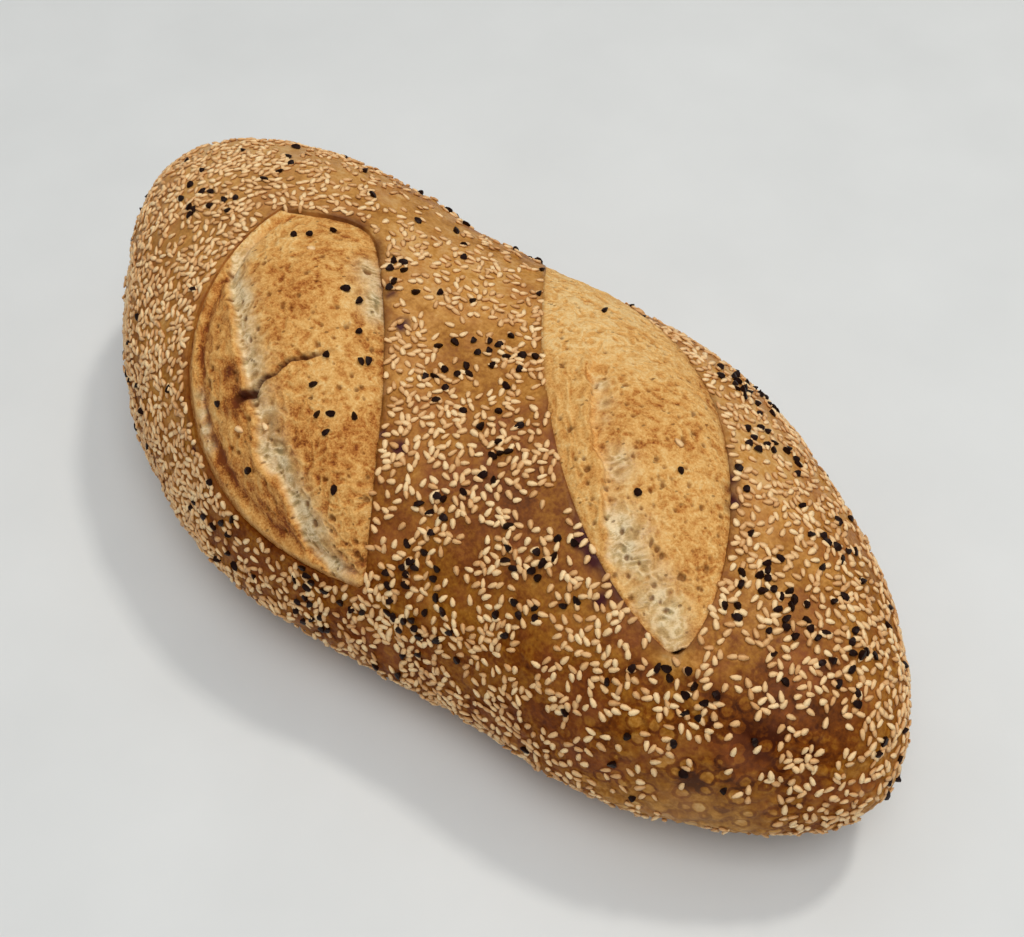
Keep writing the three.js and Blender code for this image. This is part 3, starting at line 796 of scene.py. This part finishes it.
# Seeds
def seed_form(kind):
    """One seed along X, pointed end at +X: its points, its triangles and their corners' places on a map."""
    length, width, thickness = kind["half"]
    sides = kind["sides"]
    turn = np.arange(sides) * 2 * np.pi / sides
    points = [(-length, 0, 0)]
    for step in range(1, SEED_RINGS):
        x = -math.cos(math.pi * step / SEED_RINGS)
        wide = math.sqrt(1 - x * x) * (1 - kind["taper"] * x)
        ridge = 1 + kind["corners"] * np.cos(3 * turn)
        points += [(length * x, width * wide * k * math.cos(a), thickness * wide * k * math.sin(a))
                   for a, k in zip(turn, ridge)]
    points.append((length, 0, 0))
    faces = []
    last = len(points) - 1
    for side in range(sides):
        after = (side + 1) % sides
        faces.append((0, 1 + after, 1 + side))
        for ring in range(SEED_RINGS - 2):
            a, b = 1 + ring * sides, 1 + (ring + 1) * sides
            faces.append((a + side, a + after, b + after))
            faces.append((a + side, b + after, b + side))
        tip = 1 + (SEED_RINGS - 2) * sides
        faces.append((last, tip + side, tip + after))
    points = np.array(points)
    faces = np.array(faces)
    flat = points[faces][..., :2] / (2.2 * np.array([length, width])) * (0.48, 0.96)
    above = points[faces][..., 2].mean(axis=1) > 0
    flat += np.where(above, 0.25, 0.75)[:, None, None] * (1, 0) + np.array([0, 0.5])
    return points, faces, flat


def lay_seeds(name, kind, found, material):
    """Lays one seed at each place found, flat and turned at random, and joins them to one piece."""
    form, faces, flat = seed_form(kind)
    pick = np.random.default_rng(kind["lay"])
    places, out = (np.array(part) for part in zip(*found))
    count = len(places)
    up = unit(out + pick.normal(0, SEED_TILT, (count, 3)))
    heading = unit(np.cross(up, pick.normal(0, 1, (count, 3))))
    side = np.cross(up, heading)
    size = 1 + pick.uniform(-kind["spread"], kind["spread"], (count, 3))
    local = form[None] * size[:, None, :]
    lift = kind["half"][2] - kind["sink"]
    points = places[:, None] + lift * up[:, None]
    for axis, way in enumerate((heading, side, up)):
        points = points + local[..., axis:axis + 1] * way[:, None]
    points[..., 2] = np.maximum(points[..., 2], 0.05)
    all_faces = faces[None] + (np.arange(count) * len(form))[:, None, None]
    cells = math.ceil(math.sqrt(count))
    cell = np.stack([np.arange(count) % cells, np.arange(count) // cells], axis=-1)
    uv = (flat[None] + cell[:, None, None]) / cells
    # Painted shade on each seed's rounded sides, added to a tone that differs at random
    rim = RIM_SHADE * (1 - form[:, 2] / kind["half"][2])
    tone_and_shade = np.repeat(pick.uniform(0, 1 - 2 * RIM_SHADE, count), len(form)) + np.tile(rim, count)
    mesh_piece(name, points.reshape(-1, 3), all_faces.reshape(-1, 3), uv.reshape(-1, 3, 2),
               {"tone_and_shade": tone_and_shade}, material, kind["smooth"])


def throw_seeds(crust, weights, kind, taken):
    """Draws places on the crust by weight, leaving out those too near to a seed that already lies there."""
    pick = np.random.default_rng(kind["throw"])
    points, out = crust["points"].reshape(-1, 3), crust["out"].reshape(-1, 3)
    chances = weights.ravel() / weights.sum()
    found = []
    for i in pick.choice(len(points), kind["count"] * 6, p=chances):
        place = points[i] + np.cross(out[i], pick.uniform(-0.6, 0.6, 3))
        x, y, z = np.floor(place / kind["apart"]).astype(int).tolist()
        cells = [(x + by_x, y + by_y, z + by_z) for by_x, by_y, by_z in NEIGHBOURS]
        nearby = [other for cell in cells for other in taken.get(cell, ())]
        if any(np.dot(place - other, place - other) < kind["apart"] ** 2 for other in nearby):
            continue
        taken.setdefault((x, y, z), []).append(place)
        found.append((place, out[i]))
        if len(found) == kind["count"]:
            break
    return found


def cell_areas(points):
    """Area of crust that each point of its grid stands for."""
    along = np.gradient(points, axis=0)
    round_it = (np.roll(points, -1, axis=1) - np.roll(points, 1, axis=1)) / 2
    return np.linalg.norm(np.cross(along, round_it), axis=-1)


def stray_places(blooms, strays):
    """Points and directions on the blooms at shares along and across them."""
    found = []
    for name, spots in strays.items():
        bloom = blooms[name]
        for share, across in spots:
            away = np.hypot(bloom["share"] - share, 0.3 * (bloom["across"] - across))
            spot = np.unravel_index(away.argmin(), away.shape)
            found.append((bloom["points"][spot], bloom["out"][spot]))
    return found


def sow_seeds(crust, blooms, sesame_skin, nigella_skin):
    points, out = crust["points"], crust["out"]
    open_crust = cell_areas(points) * (crust["gaps"] > SEED_GAP)
    open_crust *= ease(points[..., 2], SEED_LOWEST, SEED_LOWEST + 14) * (out[..., 2] > -0.75)

    # Sesame: patchy, thinner on the far side, thicker over the tail
    patches = 0.6 + 0.75 * lumps(points, 7, 71) + 0.3 * lumps(points, 22, 72)
    sesame = np.maximum(0.12, patches) * (1 - 0.35 * ease(out[..., 1], 0.3, 0.8))
    sesame *= 1 - 0.75 * ease(out[..., 1], 0.15, 0.45) * ease(-points[..., 0], -25, 5)
    sesame *= 1 + 1.1 * ease(-points[..., 0] - 0.4 * points[..., 1], 40, 80)
    for place, radius, missing in BARE_ZONES:
        sesame *= 1 - missing * crust_zone(points, place, radius)

    # Nigella: in pinches on the back, loose on the far side
    pinches = np.full(points.shape[:2], BETWEEN_PINCHES)
    on_back = points[..., 2] > BELLY
    for x, y, number in NIGELLA_PINCHES:
        away = np.hypot(points[..., 0] - x, points[..., 1] - y)
        pinches += number * hump(away, PINCH_SPREAD) * on_back / 6
    far_side = ease(out[..., 1], 0.2, 0.7)
    pinches += far_side * 0.25 * np.maximum(0, lumps(points, 14, 73))

    taken = {}
    nigella_found = throw_seeds(crust, open_crust * pinches, NIGELLA, taken)
    sesame_found = throw_seeds(crust, open_crust * sesame, SESAME, taken)
    lay_seeds("sesame", SESAME, sesame_found + stray_places(blooms, STRAY_SESAME), sesame_skin)
    lay_seeds("nigella", NIGELLA, nigella_found + stray_places(blooms, STRAY_NIGELLA), nigella_skin)


# Materials
def add_node(tree, kind, inputs=None, **settings):
    """Adds one node, sets its options, and fills its inputs with values, hex colours or links."""
    node = tree.nodes.new(kind)
    for option, value in settings.items():
        setattr(node, option, value)
    for socket, value in (inputs or {}).items():
        if isinstance(value, bpy.types.NodeSocket):
            tree.links.new(value, node.inputs[socket])
        else:
            node.inputs[socket].default_value = linear(value) if isinstance(value, str) else value
    return node


def new_finish(name):
    """A new material, its node tree, and the link that gives each point's place on the loaf."""
    finish = bpy.data.materials.new(name)
    finish.use_nodes = True
    tree = finish.node_tree
    tree.nodes.clear()
    return finish, tree, add_node(tree, "ShaderNodeTexCoord").outputs["Object"]


def set_surface(tree, inputs, height=None, strength=0, depth=0):
    """Ends a material with its shader, and with bump of this depth in millimetres where a height is given."""
    if height is not None:
        bump = add_node(tree, "ShaderNodeBump", {
            "Height": height, "Strength": strength, "Distance": depth * MM})
        inputs = {**inputs, "Normal": bump.outputs[0]}
    shader = add_node(tree, "ShaderNodeBsdfPrincipled", inputs)
    add_node(tree, "ShaderNodeOutputMaterial", {"Surface": shader.outputs[0]})


def per(size):
    """Texture scale whose grain is this many millimetres."""
    return 1 / (size * MM)


def noise(tree, place, size, detail, roughness=0.5, distortion=0):
    return add_node(tree, "ShaderNodeTexNoise", {
        "Vector": place, "Scale": per(size), "Detail": detail, "Roughness": roughness,
        "Distortion": distortion})


def point_looks(tree, *names):
    """Looks that the mesh gives for each of its points."""
    return [add_node(tree, "ShaderNodeAttribute", attribute_name=name).outputs["Fac"] for name in names]


def worked(tree, operation, *values):
    """The result of one operation on values or links."""
    return add_node(tree, "ShaderNodeMath", dict(enumerate(values)), operation=operation).outputs[0]


def ranged(tree, value, before, after, clamp=True):
    """A value moved from one range to another."""
    return add_node(tree, "ShaderNodeMapRange", {
        "Value": value, "From Min": before[0], "From Max": before[1],
        "To Min": after[0], "To Max": after[1]}, clamp=clamp).outputs["Result"]


def varied(tree, value, *layers):
    """Adds patches to a value, each given by its pattern, the pattern's range and its share either way."""
    for pattern, before, share in layers:
        value = worked(tree, "ADD", value, ranged(tree, pattern, before, (-share, share), clamp=False))
    return value


def ramp(tree, value, *stops):
    """A value as a colour, by stops of place and hex colour."""
    node = add_node(tree, "ShaderNodeValToRGB", {"Fac": value})
    while len(node.color_ramp.elements) < len(stops):
        node.color_ramp.elements.new(1)
    for element, (place, hex_colour) in zip(node.color_ramp.elements, stops):
        element.position = place
        element.color = linear(hex_colour)
    return node.outputs[0]


def tinted(tree, colour, *tints):
    """Lays colours over one another, each given by its share and its tint."""
    for share, tint in tints:
        colour = add_node(tree, "ShaderNodeMix", {0: share, 6: colour, 7: tint}, data_type="RGBA").outputs[2]
    return colour


def baked_crust():
    """Wheat crust browned on a hearth, glazed by steam: golden to red-brown, half glossy, finely pitted."""
    finish, tree, place = new_finish("oven_baked_wheat_crust")
    bake, burn, stain, hearth, pebbles, gloss, pale_and_sheen = point_looks(
        tree, "bake", "burn", "stain", "hearth", "pebbles", "gloss", "pale_and_sheen")
    mottle = noise(tree, place, 5, 5, 0.65)
    mottled = mottle.outputs["Fac"]
    freckle, blush, wrinkle = [
        noise(tree, place, size, detail).outputs["Fac"] for size, detail in ((1, 3), (11, 3), (1.1, 4))]

    # Blisters that broke and set, about 4 mm wide: a light disc with a thin dark ring, partly their own
    # colour and partly a painted highlight and shade
    warped = add_node(tree, "ShaderNodeMix", {0: 0.0016, 4: place, 5: mottle.outputs["Color"]},
                      data_type="VECTOR").outputs[1]
    blister = add_node(tree, "ShaderNodeTexVoronoi", {
        "Vector": warped, "Scale": per(4.6), "Randomness": 0.85}).outputs["Distance"]
    disc = ranged(tree, blister, (0.3, 0.4), (-0.22, 0))
    ring = worked(tree, "COMPARE", blister, 0.42, 0.08)
    mark = worked(tree, "MULTIPLY_ADD", ring, 0.17, disc)
    mark = worked(tree, "MULTIPLY", mark, pebbles)
    browned = worked(tree, "ADD", bake, mark)
    browned = varied(tree, browned, (mottled, NOISE_RANGE, 0.16), (freckle, NOISE_RANGE, 0.1))
    colour = ramp(tree, browned, (0.05, "#DFB373"), (0.28, "#C78D42"), (0.5, "#A2681F"), (0.74, "#783C07"),
                  (1.0, "#431500"))

    # Red flush in clouds; a pale tan, painted sheen where the crust faces up and on the tail's top, and paler
    # at the nose's foot; the hearth's brown; stains beside the slashes; and their lips, darkened partly as
    # scorched crust and partly as painted shade in the crease
    flush = ranged(tree, blush, (0.48, 0.68), (0, 0.4))
    # The lips' darkening: partly scorched crust, partly painted shade in the crease
    char_and_shade_share = worked(tree, "MULTIPLY", burn, 0.85)
    colour = tinted(tree, colour, (flush, "#A05A34"), (pale_and_sheen, "#C9A574"), (hearth, "#6A4319"),
                    (stain, "#43161A"), (char_and_shade_share, "#40140F"))
    sheen = ranged(tree, mottled, NOISE_RANGE, (0.42, 0.62))
    set_surface(tree, {"Base Color": colour, "Roughness": sheen, "IOR": 1.45, "Specular IOR Level": gloss},
                wrinkle, 0.6, 0.35)
    return finish


def torn_crumb():
    """Sourdough crumb torn open in the oven and toasted: matt, finely pored, paler where it tore late."""
    finish, tree, place = new_finish("torn_toasted_crumb")
    lay = add_node(tree, "ShaderNodeAttribute", attribute_name="lay").outputs["Vector"]
    toast, pale, burn, pit, web = point_looks(tree, "toast", "pale", "burn", "pit", "web")
    grain = noise(tree, place, 0.55, 3, 0.7).outputs["Fac"]
    cloud = noise(tree, place, 2.2, 4).outputs["Fac"]

    # Fibres of gluten lie across the slash, drawn 0.6 mm thick because real ones are too fine to show
    drawn = add_node(tree, "ShaderNodeMapping", {"Vector": lay, "Scale": (1, 0.5, 1)}).outputs[0]
    fibre = noise(tree, drawn, 0.6, 3, distortion=1.5).outputs["Fac"]

    # Small open pores, a little longer across the slash
    pored = add_node(tree, "ShaderNodeMapping", {"Vector": lay, "Scale": (1, 0.65, 1)}).outputs[0]
    cells = add_node(tree, "ShaderNodeTexVoronoi", {"Vector": pored, "Scale": per(1.9)})
    pore = ranged(tree, cells.outputs["Distance"], (0.1, 0.18), (1, 0))
    broken = worked(tree, "GREATER_THAN", cells.outputs["Color"], 0.55)
    pore = worked(tree, "MULTIPLY", pore, broken)

    # The net's walls are painted paler and its cells darker: painted highlight and shade
    toasted = varied(tree, toast, (grain, NOISE_RANGE, 0.2), (cloud, NOISE_RANGE, 0.12),
                     (fibre, NOISE_RANGE, 0.06), (web, (-1, 1), -0.2))
    colour = ramp(tree, toasted, (0.0, "#F5D294"), (0.3, "#EBB76C"), (0.55, "#D79A50"), (0.8, "#B6702E"),
                  (1.0, "#803F14"))
    # Pale crumb is painted lighter on the net's walls and darker in its cells: painted highlight and shade
    lit = worked(tree, "MULTIPLY_ADD", web, 0.35, fibre)
    pale_crumb = ramp(tree, lit, (0.2, "#A18C60"), (0.5, "#D0B583"), (0.8, "#F7E1B6"))
    # Painted shade inside the pores and hollows
    painted_pore_shade = worked(tree, "MULTIPLY_ADD", pore, 0.6, pit)
    painted_pore_shade = worked(tree, "MINIMUM", painted_pore_shade, 0.75)
    # Painted shade in the crack and in the crease along the rim, over scorched spots
    char_and_shade_share = worked(tree, "MULTIPLY", burn, 0.85)
    colour = tinted(tree, colour, (pale, pale_crumb), (painted_pore_shade, "#6E3F14"), (char_and_shade_share, "#45140B"))
    rough = worked(tree, "ADD", fibre, grain)
    rough = worked(tree, "MULTIPLY_ADD", web, 0.4, rough)
    rough = worked(tree, "SUBTRACT", rough, pore)
    set_surface(tree, {"Base Color": colour, "Roughness": 0.7, "IOR": 1.4, "Specular IOR Level": 0.35},
                rough, 0.7, 0.35)
    return finish


def sesame_hull():
    """Hulled white sesame, toasted in the oven: ivory to light tan, smooth with a low sheen."""
    finish, tree, place = new_finish("toasted_white_sesame")
    [tone_and_shade] = point_looks(tree, "tone_and_shade")
    # A tone that differs at random, darker at each seed's rim as painted shade
    colour = ramp(tree, tone_and_shade, (0.0, "#FFE3B0"), (0.28, "#F2C78E"), (0.56, "#D49D62"), (1.0, "#9A5E2C"))
    streak = noise(tree, place, 0.7, 2).outputs["Fac"]
    set_surface(tree, {"Base Color": colour, "Roughness": 0.5, "IOR": 1.46}, streak, 0.2, 0.1)
    return finish


def nigella_coat():
    """Dried nigella: a black, dull, finely wrinkled coat."""
    finish, tree, place = new_finish("dried_nigella")
    [tone_and_shade] = point_looks(tree, "tone_and_shade")
    # A tone that differs at random, darker at each seed's rim as painted shade
    colour = ramp(tree, tone_and_shade, (0.0, "#1A0803"), (1.0, "#260E06"))
    wrinkle = noise(tree, place, 0.5, 2).outputs["Fac"]
    set_surface(tree, {"Base Color": colour, "Roughness": 0.5, "IOR": 1.45, "Specular IOR Level": 0.2},
                wrinkle, 0.5, 0.15)
    return finish


def floor_paint():
    """Plain painted board, rolled matt: pale grey with a barely seen unevenness."""
    finish, tree, place = new_finish("matt_painted_board")
    cloud = noise(tree, place, 60, 4).outputs["Fac"]
    colour = ramp(tree, cloud, (0.3, "#DEE1E1"), (0.7, "#E4E7E7"))
    set_surface(tree, {"Base Color": colour, "Roughness": 0.7, "IOR": 1.45})
    return finish


# Studio
def camera_axes():
    """Where the camera looks from, and its right hand on the floor."""
    right = Vector((math.cos(CAMERA_AZIMUTH), math.sin(CAMERA_AZIMUTH), 0))
    back = Vector((right.y, -right.x, 0)) * math.cos(CAMERA_ELEVATION)
    back.z = math.sin(CAMERA_ELEVATION)
    return back, right


def set_camera():
    back, _ = camera_axes()
    lens = bpy.data.cameras.new("camera")
    lens.sensor_width = SENSOR
    lens.lens = FOCAL_PIXELS * SENSOR / IMAGE_WIDTH
    lens.clip_start = CAMERA_NEAREST * MM
    camera = add_object("camera", lens)
    camera.location = (Vector(CAMERA_TARGET) + back * CAMERA_DISTANCE) * MM
    camera.rotation_euler = back.to_track_quat("Z", "Y").to_euler()
    bpy.context.scene.camera = camera


def hang_light(name, way, distance, size, power, colour, shines):
    """A soft square light that looks at the loaf from this way."""
    lamp = bpy.data.lights.new(name, "AREA")
    lamp.size = size
    lamp.energy = power
    lamp.color = linear(colour)[:3]
    light = add_object(name, lamp)
    light.visible_glossy = shines
    way = way.normalized()
    light.location = way * distance
    light.rotation_euler = way.to_track_quat("Z", "Y").to_euler()


def set_studio():
    _, right = camera_axes()
    away = Vector((-right.y, right.x, 0))
    up = Vector((0, 0, 1))
    for name, ((to_right, to_away, to_up), *settings) in LIGHTS.items():
        hang_light(name, right * to_right + away * to_away + up * to_up, *settings)
    world = bpy.data.worlds.new("room")
    world.use_nodes = True
    tree = world.node_tree
    tree.nodes.clear()
    glow = add_node(tree, "ShaderNodeBackground", {"Color": "#FFFFFF", "Strength": ROOM_GLOW})
    add_node(tree, "ShaderNodeOutputWorld", {"Surface": glow.outputs[0]})
    bpy.context.scene.world = world
    bpy.context.scene.view_settings.view_transform = "Standard"

    half = FLOOR_HALF * MM
    sheet = bpy.data.meshes.new("floor")
    corners = [(-half, -half, 0), (half, -half, 0), (half, half, 0), (-half, half, 0)]
    sheet.from_pydata(corners, [], [(0, 1, 2, 3)])
    sheet.materials.append(floor_paint())
    add_object("floor", sheet)


def bake_loaf():
    crumb = torn_crumb()
    crust = make_crust(baked_crust())
    blooms = {slash.name: make_bloom(slash, crumb) for slash in SLASHES}
    sow_seeds(crust, blooms, sesame_hull(), nigella_coat())


set_camera()
set_studio()
bake_loaf()
